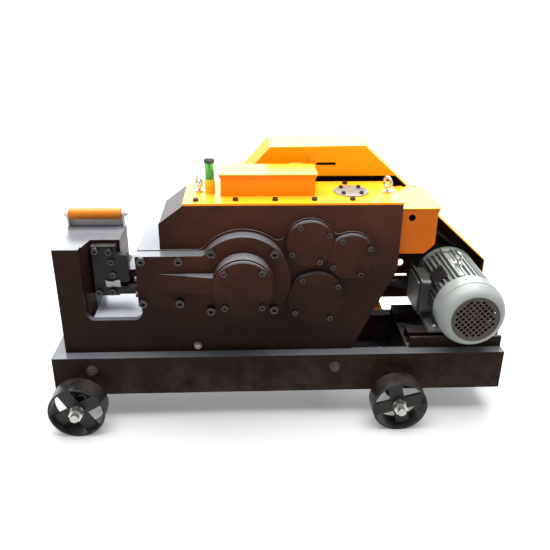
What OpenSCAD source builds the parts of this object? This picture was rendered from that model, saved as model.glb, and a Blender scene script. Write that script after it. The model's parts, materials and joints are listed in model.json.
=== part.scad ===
// Rebar cutter: an enclosed gear train drives a crank, whose rod pushes a ram
// with a moving blade past a fixed blade. Millimetres, +Z up, ground at z = 0.

/* [Base] */
// Length of the channel frame
base_l = 1350; // [1346:1:1360]
// Width of the channel frame over the two side rails
base_w = 283.5; // [282:0.5:285]
// Radius of the transport wheels
wheel_r = 82; // [78:1:84]
// Width of a wheel's rim
rim_w = 61; // [50:1:63]
// Radius of the wheel axles
axle_r = 12.5; // [11:0.5:13]

/* [Body] */
// Thickness of the front and rear side plates
plate_t = 20; // [16:1:20]
// Thickness of the slide cover
cover_t = 42; // [36:1:46]
// How far the crank boss stands out of the slide cover
boss_h = 44; // [36:1:50]

/* [Cutting gear] */
// Throw of the crank; the ram's stroke is twice this
crank_e = 17; // [14:1:17]
// Thickness of the blades
blade_t = 25; // [20:1:25]

/* [Motor] */
// Height of the motor's shaft above its feet
motor_h = 100; // [99:1:101]
// Radius of the fan cowl
cowl_r = 99.5; // [96:0.5:99.5]

/* [Guard] */
// Thickness of the orange sheet
sheet_t = 3; // [2:0.5:3]
// Distance from the base's front face to the guard's back face
guard_back = 415; // [412:1:420]

/* [Hidden] */
$fn = 48;
eps = 1;

dark = [0.17, 0.13, 0.11];
black = [0.06, 0.06, 0.06];
orange = [0.93, 0.42, 0.04];
steel = [0.62, 0.62, 0.60];
zinc = [0.74, 0.73, 0.70];
silver = [0.62, 0.65, 0.62];

// base frame
flange = 40;
rail_h = 126;
web_t = 5.5;
rail_t = 8;
rail_z = wheel_r + 10;
deck_z = rail_z + rail_h;
axle_x = [75.6, 1026];
bolt_x = [115, 835];
bolt_z = deck_z - 39;
cross_x = [115, 470, 835, 1085];

// body plates
body_y = 34.5;
body_b = 240;
in_y = body_y + plate_t;
in_b = body_b - plate_t;
body_x = 35;
head_z = 548;
slot_z = 326;
slot_x = 108;
house_x = 270.5;
lid_z = 674;
top_z = 680;
body_r = 1007.5;
jaw_x = 209;
jaw_y = 112;
jaw_z = 375;
rest_z = 447;
rest_b = 395;

// gear train; axes in the x-z plane
crank = [564.5, 468.5];
function polar(p, r, a) = [p[0] + r * cos(a), p[1] + r * sin(a)];
m_c = 6;
z_c = 56;
z_p3 = 18;
m_3 = 5;
z_3 = 52;
z_p2 = 17;
m_2 = 4;
z_2 = 46;
z_p1 = 16;
a_c3 = -18.98;
a_32 = 97.68;
a_21 = -18.9;
shaft3 = polar(crank, m_c * (z_c + z_p3) / 2, a_c3);
shaft2 = polar(shaft3, m_3 * (z_3 + z_p2) / 2, a_32);
shaft1 = polar(shaft2, m_2 * (z_2 + z_p1) / 2, a_21);
r_s1 = 20;
r_s2 = 20;
r_s3 = 27.5;
r_cj = 35;
r_cs = 40;
r_pin = 20;
fit = 0.05;
y_g1 = [60, 80];
y_g2 = [125, 148];
y_g3 = [150, 200];
y_rod = [82, 122];

// ram
ram_z = [404.3, 527.7];
ram_y = [54.8, 147.7];
ram_x = [306, 430];
nose_x = 262;
shear_y = jaw_y + 0.3;
wrist = [404, crank[1]];
stroke = 2 * crank_e;

// belt drive
fly_r = 178;
pul_r = 95;
belt_y = [308, 325, 342];
belt_w = 12;
belt_h = 10;
gw = belt_w + 1;

// motor
motor = [1228, deck_z + 35 + motor_h];
mount_z = deck_z + 35;
foot_x = [1148, 1308];
foot_y = [80, 220];
fins = 38;
plate_turn = -46;
plate_r = 98.5;

// guard
gx = [566, 648, 932.5, 1352];
gz = [690, 780, 784, 407];
guard_f = 262;
guard_in = guard_back - sheet_t;
standoff_x = [590, 700];

// common origin: centre of the footprint, on the ground
x0 = (gx[3] + axle_x[0] - wheel_r) / 2;
axle_f = -108;
y0 = (axle_f + guard_back) / 2;

// ---------- helpers ----------

// moves the drawing frame (base's left front corner) to the common origin
module at_origin() {
  translate([-x0, -y0, 0]) children();
}

// extrudes an x-z outline from y = a to y = b
module along_y(a, b) {
  translate([0, b, 0]) rotate([90, 0, 0]) linear_extrude(b - a) children();
}

// round bar along y, centred on p = [x, z]
module bar_y(p, r, a, b) {
  translate([p[0], b, p[1]]) rotate([90, 0, 0]) cylinder(r = r, h = b - a);
}

module hex_y(p, af, a, b, turn = 0) {
  translate([p[0], b, p[1]]) rotate([90, 0, 0]) rotate([0, 0, turn])
    cylinder(r = af / sqrt(3), h = b - a, $fn = 6);
}

module box(a, b) {
  translate(a) cube(b - a);
}

// socket-head screw along y, head's outer face at y = a, shank running to y = b
module socket_y(p, r, head, shank_r, a, b) {
  difference() {
    union() {
      bar_y(p, r, a, a + head);
      bar_y(p, shank_r, a + head - eps, b);
    }
    hex_y(p, r, a - eps, a + head * 0.6);
  }
}

module socket_z(p, r, head, shank_r, z_seat, z_end) {
  difference() {
    union() {
      translate([p[0], p[1], z_seat]) cylinder(r = r, h = head);
      translate([p[0], p[1], z_end]) cylinder(r = shank_r, h = z_seat - z_end + eps);
    }
    translate([p[0], p[1], z_seat + head * 0.45])
      cylinder(r = r * 0.58, h = head, $fn = 6);
  }
}

// centre of the blend arc of radius rf that touches circles (a, ra) and (b, rb)
function blend(a, ra, b, rb, rf, side) =
  let (d = norm(b - a), p = ra + rf, q = rb + rf,
       t = (d * d + p * p - q * q) / (2 * d),
       h = sqrt(p * p - t * t), u = (b - a) / d)
  a + u * t + side * h * [-u[1], u[0]];

// fills the valley between two discs with a concave arc
module web_y(a, ra, b, rb, rf, side, ya, yb) {
  c = blend(a, ra, b, rb, rf, side);
  difference() {
    along_y(ya, yb) polygon([a, b, c]);
    bar_y(c, rf, ya - eps, yb + eps);
  }
}

// involute spur gear outline, one tooth centred at angle ph
function inv_deg(r, rb) =
  let (t = sqrt(max(0, r * r / (rb * rb) - 1))) t * 180 / PI - atan(t);
module gear(m, z, ph, backlash = 0.4) {
  rp = m * z / 2;
  rb = rp * cos(20);
  rr = rp - 1.25 * m;
  ra = rp + m;
  rs = max(rr + 0.05, rb);
  half = 90 / z - backlash / (2 * rp) * 180 / PI + inv_deg(rp, rb);
  steps = 4;
  polygon([for (i = [0 : z - 1])
    each concat(
      [rr * [cos(ph + i * 360 / z - half), sin(ph + i * 360 / z - half)]],
      [for (k = [0 : steps])
        let (r = rs + (ra - rs) * k / steps, a = ph + i * 360 / z - half + inv_deg(r, rb))
        r * [cos(a), sin(a)]],
      [for (k = [steps : -1 : 0])
        let (r = rs + (ra - rs) * k / steps, a = ph + i * 360 / z + half - inv_deg(r, rb))
        r * [cos(a), sin(a)]],
      [rr * [cos(ph + i * 360 / z + half), sin(ph + i * 360 / z + half)]])]);
}
module gear_y(p, m, z, ph, a, b) {
  translate([p[0], 0, p[1]]) along_y(a, b) gear(m, z, ph);
}

// four-bolt pattern about p
function four(p, r, a) = [for (k = [0 : 3]) polar(p, r, a + 90 * k)];

// ---------- undercarriage ----------

module rail_x(l) {
  difference() {
    cube([l, flange, rail_h]);
    translate([-eps, web_t, rail_t]) cube([l + 2 * eps, flange, rail_h - 2 * rail_t]);
    for (x = bolt_x) bar_y([x - web_t, bolt_z - rail_z], 8.3, -eps, web_t + eps);
    for (x = axle_x) bar_y([x - web_t, wheel_r - rail_z], axle_r + 1, -eps, flange + eps);
  }
}

module side_rails() {
  color(dark) at_origin() {
    translate([web_t, 0, rail_z]) rail_x(base_l - 2 * web_t);
    translate([web_t, base_w, rail_z]) mirror([0, 1, 0]) rail_x(base_l - 2 * web_t);
  }
}

module end_rail() {
  difference() {
    union() {
      box([0, 0, rail_z], [web_t, base_w, deck_z]);
      box([0, flange, rail_z], [flange, base_w - flange, deck_z]);
    }
    box([web_t, flange - eps, rail_z + rail_t], [flange + eps, base_w - flange + eps, deck_z - rail_t]);
  }
}

module cross_member(x) {
  w = x == cross_x[3] ? 25 : 24;
  difference() {
    union() {
      box([x - w, flange, rail_z], [x + w, base_w - flange, deck_z]);
      box([x - w, web_t, rail_z + rail_t], [x - w + 6, base_w - web_t, deck_z - rail_t]);
    }
    box([x - w + 6, 0, rail_z + rail_t], [x + w + eps, base_w, deck_z - rail_t]);
  }
}

module cross_members() {
  color(dark) at_origin() {
    end_rail();
    translate([base_l, 0, 0]) mirror([1, 0, 0]) end_rail();
    for (x = cross_x) cross_member(x);
  }
}

module axle_brackets() {
  color(dark) at_origin()
    for (x = axle_x, y = [8, base_w - 20])
      difference() {
        union() {
          bar_y([x, wheel_r], 27, y, y + 12);
          box([x - 27, y, wheel_r], [x + 27, y + 12, rail_z]);
        }
        box([x - 40, y - eps, rail_z], [x + 40, y + 13, rail_z + 40]);
        bar_y([x, wheel_r], axle_r + 0.1, y - eps, y + 13);
      }
}

module axles() {
  color(steel) at_origin()
    for (x = axle_x) {
      bar_y([x, wheel_r], axle_r, axle_f, base_w - axle_f);
      bar_y([x, wheel_r], 18, -23.5, -16);
      bar_y([x, wheel_r], 18, base_w + 16, base_w + 23.5);
    }
}

// wheel with its axle along y, drawn for the front side
module wheel(turn) {
  a = -19 - rim_w;
  difference() {
    bar_y([0, 0], wheel_r, a, -19);
    bar_y([0, 0], wheel_r - 6, a - eps, -19 + eps);
  }
  difference() {
    union() {
      intersection() {
        bar_y([0, 0], wheel_r - 5, -66, -58);
        for (k = [0, 90]) rotate([0, -(turn + k), 0]) box([-wheel_r, -66, -20], [wheel_r, -58, 20]);
      }
      bar_y([0, 0], 21, -69, -24);
    }
    bar_y([0, 0], axle_r + fit, -80, 0);
  }
}
module place_wheel(i, back, turn) {
  color(black) at_origin() {
    if (back) translate([axle_x[i], base_w, wheel_r]) mirror([0, 1, 0]) wheel(turn);
    else translate([axle_x[i], 0, wheel_r]) wheel(turn);
  }
}
module wheel_front_left() { place_wheel(0, false, 30); }
module wheel_front_right() { place_wheel(1, false, 15); }
module wheel_rear_left() { place_wheel(0, true, 55); }
module wheel_rear_right() { place_wheel(1, true, 70); }

module axle_end_nut() {
  difference() {
    union() {
      bar_y([0, 0], 20, -72.4, -69.4);
      hex_y([0, 0], 36, -92, -72.3);
    }
    bar_y([0, 0], axle_r + 0.1, -100, -60);
  }
}
module wheel_nuts() {
  color(zinc) at_origin()
    for (x = axle_x) {
      translate([x, 0, wheel_r]) axle_end_nut();
      translate([x, base_w, wheel_r]) mirror([0, 1, 0]) axle_end_nut();
    }
}

// hex screw along y with its nut, and upright ones for the motor's feet
module hex_screw_y(p, a, b) {
  hex_y(p, 25, a - 13, a - 3);
  bar_y(p, 16.5, a - 3.1, a);
  bar_y(p, 7.9, a - 17, b + 14);
  hex_y(p, 25, b, b + 11);
}
module frame_bolts() {
  color(zinc) at_origin() {
    for (x = bolt_x) {
      hex_screw_y([x, bolt_z], 0, web_t);
      translate([0, base_w, 0]) mirror([0, 1, 0]) hex_screw_y([x, bolt_z], 0, web_t);
    }
    for (x = foot_x, y = foot_y) translate([x, y, mount_z + 12]) {
      cylinder(r = 12, h = 2);
      translate([0, 0, 1.9]) cylinder(r = 10.4, h = 8, $fn = 6);
      translate([0, 0, -30]) cylinder(r = 5.9, h = 31);
    }
  }
}

// ---------- welded body ----------

nose = [334, 623];
slope = [402, lid_z];

// ledge inside a side plate that the top cover is screwed to
module ledge(a, b) {
  difference() {
    box([430, a, lid_z - 8], [885, b, lid_z]);
    for (x = front_row) translate([x, (a + b) / 2, lid_z - 20]) cylinder(r = 5, h = 40);
  }
}
// blend between a straight edge at height z and the disc round the crank
module shoulder(z, r, rf, side, ya, yb) {
  c = [crank[0] - sqrt(pow(r + rf, 2) - pow(abs(z - crank[1]) + rf, 2)), z + side * rf];
  difference() {
    along_y(ya, yb) polygon([c, [c[0], z - side], crank]);
    bar_y(c, rf, ya - eps, yb + eps);
  }
}

// outline of the body seen from the front, up to the top cover's underside
module body_outline() {
  polygon([[body_x, deck_z], [body_x, head_z], [nose[0], head_z], nose, slope,
    [body_r, lid_z], [body_r, 481], [889, deck_z]]);
}

pad_r = 139;
pad_2 = 71.5;

module front_plate() {
  color(dark) at_origin()
    difference() {
      union() {
        along_y(body_y, in_y) body_outline();
        bar_y(crank, pad_r, 30, in_y);
        bar_y(shaft2, pad_2, 30, in_y);
        bar_y(shaft1, pad_2, 30, in_y);
        box([house_x, 30, 388], [480, in_y, 548]);
        ledge(in_y - eps, in_y + 14);
        shoulder(548, pad_r, 30, 1, 30, in_y);
        shoulder(388, pad_r, 30, -1, 30, in_y);
        web_y(crank, pad_r, shaft2, pad_2, 22, 1, 30, in_y);
        web_y(crank, pad_r, shaft2, pad_2, 22, -1, 30, in_y);
        web_y(shaft2, pad_2, shaft1, pad_2, 22, 1, 30, in_y);
        web_y(shaft2, pad_2, shaft1, pad_2, 22, -1, 30, in_y);
      }
      // open-topped recess with round lower corners
      box([slot_x + 25, 0, slot_z], [house_x - 25, in_y + eps, head_z + eps]);
      box([slot_x, 0, slot_z + 25], [house_x, in_y + eps, head_z + eps]);
      bar_y([slot_x + 25, slot_z + 25], 25, 0, in_y + eps);
      bar_y([house_x - 25, slot_z + 25], 25, 0, in_y + eps);
      bar_y(crank, 75, 0, in_y + eps);
      bar_y(shaft3, 60, 0, in_y + eps);
      bar_y(shaft2, 40, 0, in_y + eps);
      bar_y(shaft1, 40, 0, in_y + eps);
      for (p = cover_holes) bar_y(p, 8.2, 0, in_y + eps);
      for (p = cap_holes) bar_y(p, 5.2, 0, in_y + eps);
      bar_y([427, 237], 7.2, 0, in_y + eps);
    }
}

module rear_plate() {
  color(dark) at_origin()
    difference() {
      union() {
        along_y(in_b, body_b) body_outline();
        ledge(in_b - 14, in_b + eps);
      }
      // mouth for the bar, and the chute under the jaw and the bar rest
      box([jaw_x, in_b - eps, rest_z], [house_x, body_b + eps, head_z + eps]);
      box([125, in_b - eps, slot_z], [house_x, body_b + eps, jaw_z]);
      box([jaw_x, in_b - eps, slot_z], [house_x, body_b + eps, rest_b]);
      bar_y(crank, 60, in_b - eps, body_b + eps);
      bar_y(shaft3, 55, in_b - eps, body_b + eps);
      bar_y(shaft2, 40, in_b - eps, body_b + eps);
      bar_y(shaft1, 40, in_b - eps, body_b + eps);
      for (p = rear_holes) bar_y(p, 5.2, in_b - eps, body_b + eps);
    }
}

// column at the head's left end; its right face leans back with depth
module head_column() {
  color(dark) at_origin()
    translate([0, 0, deck_z]) linear_extrude(head_z - deck_z)
      polygon([[body_x, in_y], [slot_x + 4.4, in_y], [125, jaw_y], [125, in_b], [body_x, in_b]]);
}

module jaw_block() {
  color(dark) at_origin() box([125, jaw_y, jaw_z], [jaw_x, in_b, head_z]);
}

module head_foot() {
  color(dark) at_origin() box([125, in_y, deck_z], [300, in_b, slot_z]);
}

// bridge that carries the bar behind the blades; its top meets the jaw in a slope
module bar_rest() {
  color(dark) at_origin()
    along_y(126, in_b) polygon([[jaw_x, rest_b], [house_x, rest_b], [house_x, rest_z],
      [jaw_x + 13, rest_z], [jaw_x, rest_z + 14]]);
}

module ram_guides() {
  color(dark) at_origin() {
    box([house_x, in_y, slot_z], [385, in_b, 404]);
    box([house_x, in_y, 528], [333, in_b, head_z]);
    box([house_x, 148, 404.5], [385, in_b, 527.5]);
  }
}

module gearbox_walls() {
  color(dark) at_origin() {
    along_y(in_y, in_b) polygon([[301, deck_z], [301, deck_z + 16], [878, deck_z + 16], [873, deck_z]]);
    along_y(in_y, in_b) polygon([[nose[0], head_z], nose, slope, [424, lid_z], [350, 615], [350, head_z]]);
    along_y(in_y, in_b) polygon([[873.5, deck_z], [889, deck_z], [body_r, 481], [body_r, lid_z],
      [body_r - 14, lid_z], [body_r - 14, 484]]);
  }
}

// ---------- covers on the front ----------

cover_holes = [[288, 535], [388.6, 534], [285, 407], [387, 406],
  [478.6, 556], [651, 553.5], [473, 381], [651, 383]];
cap2_holes = four(shaft2, 58.3, 28.7);
cap1_holes = four(shaft1, 58.3, 28.7);
cap3_holes = four(shaft3, 73.6, 34.4);
cap_holes = concat(cap2_holes, cap1_holes, cap3_holes);
crank_holes = four(crank, 72.5, 45);
rear_holes = concat(four(shaft2, 50.5, 45), four(shaft1, 50.5, 45), four(shaft3, 66, 45),
  four(crank, 72, 45));
cover_f = 30 - cover_t;
boss_f = cover_f - boss_h;

module slide_cover() {
  color(dark) at_origin()
    difference() {
      union() {
        bar_y(crank, 132, cover_f, 30);
        box([house_x, cover_f, 394], [480, 30, 546]);
        shoulder(546, 132, 14, 1, cover_f, 30);
        shoulder(394, 132, 14, -1, cover_f, 30);
        bar_y(crank, 86, boss_f, cover_f + eps);
        // the rib rises as a wedge into the boss
        translate([0, 0, 443]) linear_extrude(51)
          polygon([[330, cover_f + eps], [330, cover_f], [478, cover_f - 31], [500, cover_f - 31],
            [500, cover_f + eps]]);
      }
      bar_y(crank, 55, boss_f - eps, 30 + eps);
      for (p = cover_holes) bar_y(p, 8.2, cover_f - 60, 31);
      for (p = crank_holes) bar_y(p, 5.2, boss_f - eps, boss_f + 26);
      for (z = [468, 420]) translate([house_x - eps, 12, z]) rotate([0, 90, 0]) cylinder(r = 5.1, h = 22);
    }
}

module cap(p, r, holes, a, b, bore = 0) {
  difference() {
    union() {
      bar_y(p, r, a + 2, b);
      bar_y(p, r - 2, a, b);
    }
    for (q = holes) bar_y(q, 5.2, a - eps, b + eps);
    if (bore > 0) bar_y(p, bore, a - eps, b + eps);
  }
}

// block that trims a cap beyond distance d in direction a
module flat(p, a, d) {
  translate([p[0], 0, p[1]]) rotate([0, -a, 0]) box([d, 0, -80], [d + 40, 60, 80]);
}

module shaft_caps() {
  color(dark) at_origin() {
    cap(crank, 82, crank_holes, boss_f - 12, boss_f);
    // the two small caps meet on a flat
    difference() {
      cap(shaft2, 67, cap2_holes, 13, 30);
      flat(shaft2, a_21, 61.8);
    }
    difference() {
      cap(shaft1, 67, cap1_holes, 13, 30);
      flat(shaft1, a_21 + 180, 61.8);
    }
    cap(shaft3, 82.8, cap3_holes, 17, body_y);
    translate([0, 2 * body_b, 0]) mirror([0, 1, 0]) {
      cap(crank, 82, four(crank, 72, 45), body_b - 10, body_b);
      cap(shaft3, 76, four(shaft3, 66, 45), body_b - 10, body_b);
      cap(shaft2, 61, four(shaft2, 50.5, 45), body_b - 10, body_b);
      cap(shaft1, 61, four(shaft1, 50.5, 45), body_b - 10, body_b, r_s1 + 0.3);
    }
  }
}

front_row = [437, 546, 655, 764, 870];
ledge_y = [in_y + 6.5, in_b - 6.5];
round_c = [877, 137];
round_holes = [for (i = [-1, 1], j = [-1, 1]) [round_c[0] + 25.5 * i, round_c[1] + 29 * j]];

module cover_bolts() {
  color(black) at_origin() {
    for (p = cover_holes) socket_y(p, 12, 13, 8, cover_f - 13, in_y - 2);
    // gib screws in the slide cover's left edge
    for (z = [468, 420]) translate([house_x, 12, z]) rotate([0, 90, 0]) {
      translate([0, 0, -9]) cylinder(r = 8.6, h = 9, $fn = 6);
      translate([0, 0, -eps]) cylinder(r = 5, h = 21);
    }
    for (p = cap2_holes) socket_y(p, 8, 8, 5, 5, in_y - 2);
    for (p = cap1_holes) socket_y(p, 8, 8, 5, 5, in_y - 2);
    for (p = cap3_holes) socket_y(p, 8, 8, 5, 9, in_y - 2);
    for (p = crank_holes) socket_y(p, 9, 9, 5, boss_f - 21, boss_f + 24);
    for (p = rear_holes)
      translate([0, 2 * body_b, 0]) mirror([0, 1, 0]) socket_y(p, 8, 7, 5, body_b - 17, body_b + 18);
    for (x = front_row, y = ledge_y) socket_z([x, y], 8, 8, 4.9, top_z, lid_z - 7);
    for (p = round_holes) socket_z(p, 6, 6, 3.4, top_z + 4, top_z - 4);
  }
}

module drain_plug() {
  color(zinc) at_origin() {
    hex_y([427, 237], 17, 25, 33);
    bar_y([427, 237], 12, 32.5, body_y);
    bar_y([427, 237], 7.1, 34, in_y - 1);
  }
}

// ---------- covers on top ----------

ibox_x = [504, 769];
ibox_y = [100, 204.5];
ibox_z = 743;
hinge_1 = [ibox_y[1] + 8, ibox_z - 1.5];

// hinge knuckle along x about h = [y, z]
module knuckle(x, h) {
  translate([x, h[0], h[1]]) rotate([0, 90, 0]) cylinder(r = 3, h = 18);
}

module top_cover() {
  color(orange) at_origin()
    difference() {
      box([slope[0], body_y, lid_z], [body_r + 2, body_b, top_z]);
      box([ibox_x[0] + 12, ibox_y[0] + 12, lid_z - eps], [ibox_x[1] - 12, ibox_y[1] - 12, top_z + eps]);
      translate([round_c[0], round_c[1], lid_z - eps]) cylinder(r = 28, h = 20);
      for (x = front_row, y = ledge_y) translate([x, y, lid_z - eps]) cylinder(r = 5, h = 20);
      for (p = round_holes) translate([p[0], p[1], lid_z - eps]) cylinder(r = 3.5, h = 20);
      translate([473, 137, lid_z - eps]) cylinder(r = 8, h = 20);
      for (p = eye_at) translate([p[0], p[1], lid_z - eps]) cylinder(r = 6.1, h = 20);
    }
}

module inspection_box() {
  t = sheet_t;
  color(orange) at_origin()
    difference() {
      union() {
        box([ibox_x[0], ibox_y[0], top_z], [ibox_x[1], ibox_y[1], ibox_z - 10]);
        // flared lip under the lid
        translate([0, ibox_y[1], 0]) rotate([90, 0, 0]) linear_extrude(ibox_y[1] - ibox_y[0])
          polygon([[ibox_x[0], ibox_z - 16], [ibox_x[0] - 5, ibox_z - 4], [ibox_x[1] + 5, ibox_z - 4],
            [ibox_x[1], ibox_z - 16]]);
        for (x = [ibox_x[0] + 30, ibox_x[1] - 48]) {
          box([x, ibox_y[1] - eps, ibox_z - 21], [x + 18, hinge_1[0] + 1.5, ibox_z - 4]);
          knuckle(x, hinge_1);
        }
      }
      box([ibox_x[0] + t, ibox_y[0] + t, top_z - eps], [ibox_x[1] - t, ibox_y[1] - t, ibox_z]);
    }
}

module inspection_lid() {
  color(orange) at_origin() {
    box([ibox_x[0] - 5.5, ibox_y[0] - 5, ibox_z - 3.7], [ibox_x[1] + 6, ibox_y[1] + 4.7, ibox_z]);
    for (x = [ibox_x[0] + 48.5, ibox_x[1] - 66.5]) {
      box([x, ibox_y[1], ibox_z - 3.7], [x + 18, hinge_1[0], ibox_z]);
      knuckle(x, hinge_1);
    }
  }
}

module round_cover() {
  color(silver) at_origin()
    difference() {
      translate([round_c[0], round_c[1], top_z]) cylinder(r = 51, h = 4);
      for (p = round_holes) translate([p[0], p[1], top_z - eps]) cylinder(r = 3.5, h = 20);
    }
}

eye_at = [[980, 130], [442, 147]];
module eyebolt(r_ring, r_wire, r_base, r_shank, below) {
  h = 10 + r_ring;
  cylinder(r = r_base, h = 5);
  cylinder(r = r_wire + 1, h = 12);
  translate([0, 0, h + r_wire]) rotate([0, 90, 30]) rotate_extrude() translate([r_ring, 0]) circle(r = r_wire);
  translate([0, 0, -below]) cylinder(r = r_shank, h = below + eps);
}
module eyebolts() {
  color(zinc) at_origin() {
    for (p = eye_at) translate([p[0], p[1], top_z]) eyebolt(14.5, 4.5, 12, 6, 16);
    translate([1216, 130, 452]) eyebolt(11, 3.6, 9, 5, 8);
  }
}

cup = [473, 137];
module oil_cup_base() {
  color([0.75, 0.6, 0.2]) at_origin() translate([cup[0], cup[1], 0]) {
    translate([0, 0, top_z]) cylinder(r = 14, h = 22, $fn = 6);
    difference() {
      translate([0, 0, top_z + 21]) cylinder(r = 14.5, h = 19);
      translate([0, 0, top_z + 34]) cylinder(r = 13.2, h = 20);
    }
    translate([0, 0, lid_z - 6]) cylinder(r = 7.9, h = 8);
  }
}
module oil_cup_glass() {
  color([0.15, 0.45, 0.2, 0.5]) at_origin() translate([cup[0], cup[1], 0])
    difference() {
      translate([0, 0, top_z + 34]) cylinder(r = 13.1, h = 57);
      translate([0, 0, top_z + 37]) cylinder(r = 11, h = 60);
    }
}
module oil_cup_cap() {
  color([0.35, 0.36, 0.36]) at_origin() translate([cup[0], cup[1], 0])
    difference() {
      union() {
        translate([0, 0, top_z + 87]) cylinder(r = 15, h = 10);
        translate([0, 0, top_z + 96]) cylinder(r = 11, h = 4);
      }
      translate([0, 0, top_z + 86]) cylinder(r = 13.2, h = 6);
    }
}

// ---------- cutting gear ----------

holder_y = 88;
holder_screws = [[142, 525], [180.5, 522], [142, 393], [181, 395]];
blade_screws_at = [[185, 490], [187, 450]];

// plate on the jaw's front face with a pocket for the blade and a ledge under it
module blade_holder() {
  color(dark) at_origin()
    difference() {
      union() {
        box([130, holder_y, 381], [200, jaw_y, 537]);
        box([199, holder_y, 385], [254, jaw_y, 408]);
      }
      box([150, holder_y - eps, 424.7], [201, jaw_y + eps, 510.3]);
      for (p = holder_screws) bar_y(p, 6.2, holder_y - eps, jaw_y + eps);
    }
}

module fixed_blade() {
  color(steel) at_origin() {
    difference() {
      along_y(jaw_y - blade_t, jaw_y) polygon([[150.3, 425], [226, 425], [232, 431], [232, 504],
        [226, 510], [150.3, 510]]);
      for (p = blade_screws_at) bar_y(p, 6.2, 60, jaw_y + eps);
    }
    // ground lip under the lower screw, leaning in towards its foot
    difference() {
      translate([164, 0, 0]) rotate([90, 0, 90]) linear_extrude(42)
        polygon([[jaw_y - blade_t + 0.5, 434], [jaw_y - blade_t - 8, 434], [holder_y - 1.5, 409],
          [holder_y - 0.1, 409], [holder_y - 0.1, 424], [jaw_y - blade_t + 0.5, 425.5]]);
      bar_y([180, 454], 25, 60, jaw_y);
    }
  }
}

module blade_screws() {
  color(black) at_origin() {
    for (p = holder_screws) socket_y(p, 10, 10, 6, holder_y - 10, jaw_y - 0.2);
    for (p = blade_screws_at) socket_y(p, 9, 8, 6, jaw_y - blade_t - 8, jaw_y - 0.2);
  }
}

module moving_blade() {
  color(steel) at_origin() along_y(shear_y, shear_y + blade_t)
    polygon([[nose_x, 458], [nose_x + 6, 452], [290.8, 452], [290.8, 512], [nose_x + 6, 512], [nose_x, 506]]);
}

module ram() {
  color(steel) at_origin()
    difference() {
      union() {
        box([ram_x[0], ram_y[0], ram_z[0]], [ram_x[1], ram_y[1], ram_z[1]]);
        box([291, shear_y, 450], [ram_x[0] + eps, ram_y[1], ram_z[1]]);
        box([266, shear_y + blade_t + 0.1, 450], [292, ram_y[1], ram_z[1]]);
      }
      // slot for the rod's small end
      box([368, y_rod[0] - 0.5, ram_z[0] - eps], [ram_x[1] + eps, y_rod[1] + 0.5, ram_z[1] + eps]);
      bar_y(wrist, 18.1, ram_y[0] - eps, ram_y[1] + eps);
    }
}

module wrist_pin() {
  color(steel) at_origin() bar_y(wrist, 18, ram_y[0] + 2, ram_y[1] - 2);
}

big_r = 80;
big_bore = r_pin + stroke + 10;
big_end = [crank[0] + crank_e, crank[1]];
module connecting_rod() {
  color(steel) at_origin()
    difference() {
      union() {
        bar_y(wrist, 30, y_rod[0], y_rod[1]);
        bar_y(big_end, big_r, y_rod[0], y_rod[1]);
        along_y(y_rod[0] + 6, y_rod[1] - 6) polygon([[wrist[0], wrist[1] - 27], [big_end[0] - 66, big_end[1] - 42],
          [big_end[0] - 66, big_end[1] + 42], [wrist[0], wrist[1] + 27]]);
      }
      bar_y(wrist, 18 + fit, 0, 200);
      bar_y(big_end, big_bore, 0, 200);
    }
}

// ---------- gear train ----------

module crankshaft() {
  color(steel) at_origin() {
    bar_y(crank, r_cj, boss_f + 6, y_rod[0] - 10);
    bar_y(crank, r_cs, y_rod[0] - 15, y_rod[0] - 1);
    bar_y(big_end, r_pin, y_rod[0] - 2, y_rod[1] + 2);
    bar_y(crank, r_cs, y_rod[1] + 1, y_g3[1] + 2);
    bar_y(crank, r_cj, y_g3[1] + 1, body_b - 2);
  }
}

module crank_gear() {
  color(steel) at_origin()
    difference() {
      gear_y(crank, m_c, z_c, a_c3, y_g3[0], y_g3[1]);
      bar_y(crank, r_cs + 0.02, 0, 300);
      difference() {
        bar_y(crank, 145, y_g3[0] - eps, y_g3[0] + 14);
        bar_y(crank, 62, y_g3[0] - 5, y_g3[0] + 20);
      }
    }
}

module third_shaft() {
  color(steel) at_origin() {
    bar_y(shaft3, r_s3, 36, body_b - 2);
    gear_y(shaft3, m_c, z_p3, a_c3 + 180 + 180 / z_p3, y_g3[0], y_g3[1]);
  }
}
module third_gear() {
  color(steel) at_origin()
    difference() {
      gear_y(shaft3, m_3, z_3, a_32, y_g2[0], y_g2[1]);
      bar_y(shaft3, r_s3 + 0.02, 0, 300);
    }
}
module second_shaft() {
  color(steel) at_origin() {
    bar_y(shaft2, r_s2, 32, body_b - 2);
    gear_y(shaft2, m_3, z_p2, a_32 + 180 + 180 / z_p2, y_g2[0], y_g2[1]);
  }
}
module second_gear() {
  color(steel) at_origin()
    difference() {
      gear_y(shaft2, m_2, z_2, a_21, y_g1[0], y_g1[1]);
      bar_y(shaft2, r_s2 + 0.02, 0, 300);
    }
}
module input_shaft() {
  color(steel) at_origin() {
    bar_y(shaft1, r_s1, 32, 352);
    gear_y(shaft1, m_2, z_p1, a_21 + 180 + 180 / z_p1, y_g1[0], y_g1[1]);
  }
}

module sheave(p, r, hub_r, bore, web_a, web_b, hole) {
  difference() {
    bar_y(p, r, belt_y[0] - 9, belt_y[2] + 9);
    for (y = belt_y) difference() {
      bar_y(p, r + eps, y - gw / 2, y + gw / 2);
      bar_y(p, r - belt_h - 3, y - gw, y + gw);
    }
    if (hole > 0) {
      difference() {
        bar_y(p, hole, belt_y[0] - 10, web_a);
        bar_y(p, hub_r, belt_y[0] - 12, web_a + eps);
      }
      difference() {
        bar_y(p, hole, web_b, belt_y[2] + 10);
        bar_y(p, hub_r, web_b - eps, belt_y[2] + 12);
      }
      for (k = [0 : 4]) bar_y(polar(p, (hub_r + hole) / 2, 72 * k), 22, web_a - eps, web_b + eps);
    }
    bar_y(p, bore, 0, 400);
  }
}

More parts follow.
